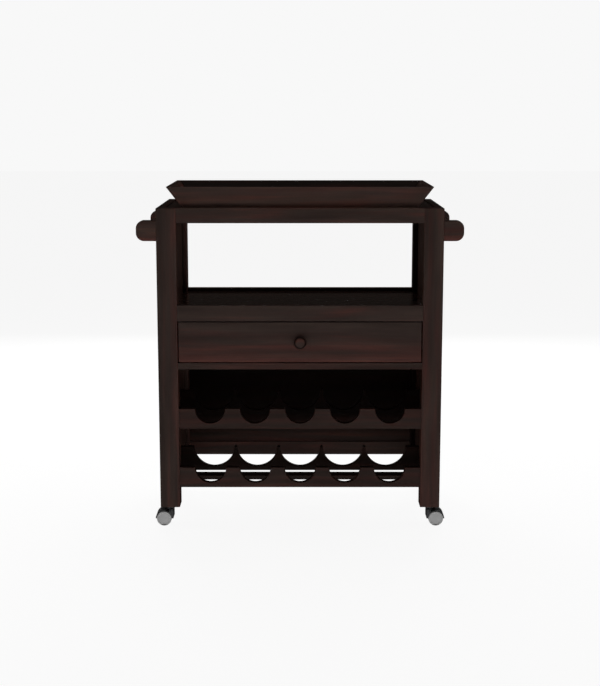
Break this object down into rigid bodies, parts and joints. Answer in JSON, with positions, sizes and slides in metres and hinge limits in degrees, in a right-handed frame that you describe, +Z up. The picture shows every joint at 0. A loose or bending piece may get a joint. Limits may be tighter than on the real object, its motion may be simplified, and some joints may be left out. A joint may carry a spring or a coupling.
{
  "type": "bar cart on wheels",
  "caption": "Wooden bar cart on casters with a lift-off tray, open shelf, drawer, side handles and two bottle racks with half-round rests.",
  "frame": {"origin": "on the floor, under the middle of the cart's outer box, drawer knob included", "axes": "+Z up, +X to the right of a user who faces the drawer, -Y out of the drawer front"},
  "size_m": [0.82, 0.387, 0.8735],
  "materials": {
    "stained_wood": "dark mahogany stain under semi-gloss varnish",
    "drawer_box_wood": "dark stain, satin",
    "zinc_steel": "zinc plated",
    "white_nylon": "moulded",
    "black_plastic": "moulded, fine texture",
    "grey_plastic": "moulded, semi-gloss"
  },
  "bodies": {
    "cart": {"leg_front_left": "stained_wood", "leg_front_right": "stained_wood", "leg_rear_left": "stained_wood", "leg_rear_right": "stained_wood", "top_front_rail": "stained_wood", "top_rear_rail": "stained_wood", "top_left_rail": "stained_wood", "top_right_rail": "stained_wood", "top_panel": "stained_wood", "left_side_panel": "stained_wood", "right_side_panel": "stained_wood", "shelf_board": "stained_wood", "shelf_front_rail": "stained_wood", "shelf_rear_rail": "stained_wood", "drawer_lower_rail": "stained_wood", "rear_bottom_rail": "stained_wood", "back_panel": "stained_wood", "upper_rack_front_rail": "stained_wood", "upper_rack_middle_rail": "stained_wood", "lower_rack_front_rail": "stained_wood", "lower_rack_middle_rail": "stained_wood", "lower_rack_slat": "stained_wood", "handle_brackets_left": "stained_wood", "handle_brackets_right": "stained_wood", "handle_bar_left": "stained_wood", "handle_bar_right": "stained_wood", "slide_outer_members": "zinc_steel", "slide_screws": "zinc_steel", "caster_sockets": "black_plastic"},
    "drawer": {"drawer_front": "stained_wood", "drawer_left_side": "drawer_box_wood", "drawer_right_side": "drawer_box_wood", "drawer_back": "drawer_box_wood", "drawer_bottom": "drawer_box_wood", "drawer_knob": "stained_wood", "drawer_screws": "zinc_steel", "slide_inner_members": "zinc_steel"},
    "slide_middle": {"slide_middle_members": "zinc_steel", "slide_ball_cages": "white_nylon"},
    "tray": {"tray_floor": "stained_wood", "tray_front_wall": "stained_wood", "tray_rear_wall": "stained_wood", "tray_left_wall": "stained_wood", "tray_right_wall": "stained_wood"},
    "caster_front_left_swivel": {"caster_front_left_hood": "black_plastic", "caster_front_left_pins": "zinc_steel"},
    "caster_front_left_wheel_1": {"caster_front_left_wheel_1": "grey_plastic"},
    "caster_front_left_wheel_2": {"caster_front_left_wheel_2": "grey_plastic"},
    "caster_front_right_swivel": {"caster_front_right_hood": "black_plastic", "caster_front_right_pins": "zinc_steel"},
    "caster_front_right_wheel_1": {"caster_front_right_wheel_1": "grey_plastic"},
    "caster_front_right_wheel_2": {"caster_front_right_wheel_2": "grey_plastic"},
    "caster_rear_left_swivel": {"caster_rear_left_hood": "black_plastic", "caster_rear_left_pins": "zinc_steel"},
    "caster_rear_left_wheel_1": {"caster_rear_left_wheel_1": "grey_plastic"},
    "caster_rear_left_wheel_2": {"caster_rear_left_wheel_2": "grey_plastic"},
    "caster_rear_right_swivel": {"caster_rear_right_hood": "black_plastic", "caster_rear_right_pins": "zinc_steel"},
    "caster_rear_right_wheel_1": {"caster_rear_right_wheel_1": "grey_plastic"},
    "caster_rear_right_wheel_2": {"caster_rear_right_wheel_2": "grey_plastic"}
  },
  "joints": [
    {"name": "drawer_slide", "type": "slide", "parent": "cart", "child": "drawer", "axis": [0, -1, 0], "range_m": [0, 0.28]},
    {"name": "slide_middle_travel", "type": "slide", "parent": "cart", "child": "slide_middle", "axis": [0, -1, 0], "range_m": [0, 0.14]},
    {"name": "tray_lift", "type": "slide", "parent": "cart", "child": "tray", "axis": [0, 0, 1], "range_m": [0, 0.2]},
    {"name": "caster_front_left_swivel", "type": "hinge", "parent": "cart", "child": "caster_front_left_swivel", "pos_m": [-0.335, -0.1415, 0.05], "axis": [0, 0, 1], "continuous": true},
    {"name": "caster_front_left_wheel_1_roll", "type": "hinge", "parent": "caster_front_left_swivel", "child": "caster_front_left_wheel_1", "pos_m": [-0.352, -0.1415, 0.019], "axis": [0, 1, 0], "continuous": true},
    {"name": "caster_front_left_wheel_2_roll", "type": "hinge", "parent": "caster_front_left_swivel", "child": "caster_front_left_wheel_2", "pos_m": [-0.352, -0.1415, 0.019], "axis": [0, 1, 0], "continuous": true},
    {"name": "caster_front_right_swivel", "type": "hinge", "parent": "cart", "child": "caster_front_right_swivel", "pos_m": [0.335, -0.1415, 0.05], "axis": [0, 0, 1], "continuous": true},
    {"name": "caster_front_right_wheel_1_roll", "type": "hinge", "parent": "caster_front_right_swivel", "child": "caster_front_right_wheel_1", "pos_m": [0.352, -0.1415, 0.019], "axis": [0, 1, 0], "continuous": true},
    {"name": "caster_front_right_wheel_2_roll", "type": "hinge", "parent": "caster_front_right_swivel", "child": "caster_front_right_wheel_2", "pos_m": [0.352, -0.1415, 0.019], "axis": [0, 1, 0], "continuous": true},
    {"name": "caster_rear_left_swivel", "type": "hinge", "parent": "cart", "child": "caster_rear_left_swivel", "pos_m": [-0.335, 0.1685, 0.05], "axis": [0, 0, 1], "continuous": true},
    {"name": "caster_rear_left_wheel_1_roll", "type": "hinge", "parent": "caster_rear_left_swivel", "child": "caster_rear_left_wheel_1", "pos_m": [-0.352, 0.1685, 0.019], "axis": [0, 1, 0], "continuous": true},
    {"name": "caster_rear_left_wheel_2_roll", "type": "hinge", "parent": "caster_rear_left_swivel", "child": "caster_rear_left_wheel_2", "pos_m": [-0.352, 0.1685, 0.019], "axis": [0, 1, 0], "continuous": true},
    {"name": "caster_rear_right_swivel", "type": "hinge", "parent": "cart", "child": "caster_rear_right_swivel", "pos_m": [0.335, 0.1685, 0.05], "axis": [0, 0, 1], "continuous": true},
    {"name": "caster_rear_right_wheel_1_roll", "type": "hinge", "parent": "caster_rear_right_swivel", "child": "caster_rear_right_wheel_1", "pos_m": [0.352, 0.1685, 0.019], "axis": [0, 1, 0], "continuous": true},
    {"name": "caster_rear_right_wheel_2_roll", "type": "hinge", "parent": "caster_rear_right_swivel", "child": "caster_rear_right_wheel_2", "pos_m": [0.352, 0.1685, 0.019], "axis": [0, 1, 0], "continuous": true}
  ],
  "couplings": [
    {"joint": "slide_middle_travel", "follows": "drawer_slide", "ratio": 0.5}
  ]
}
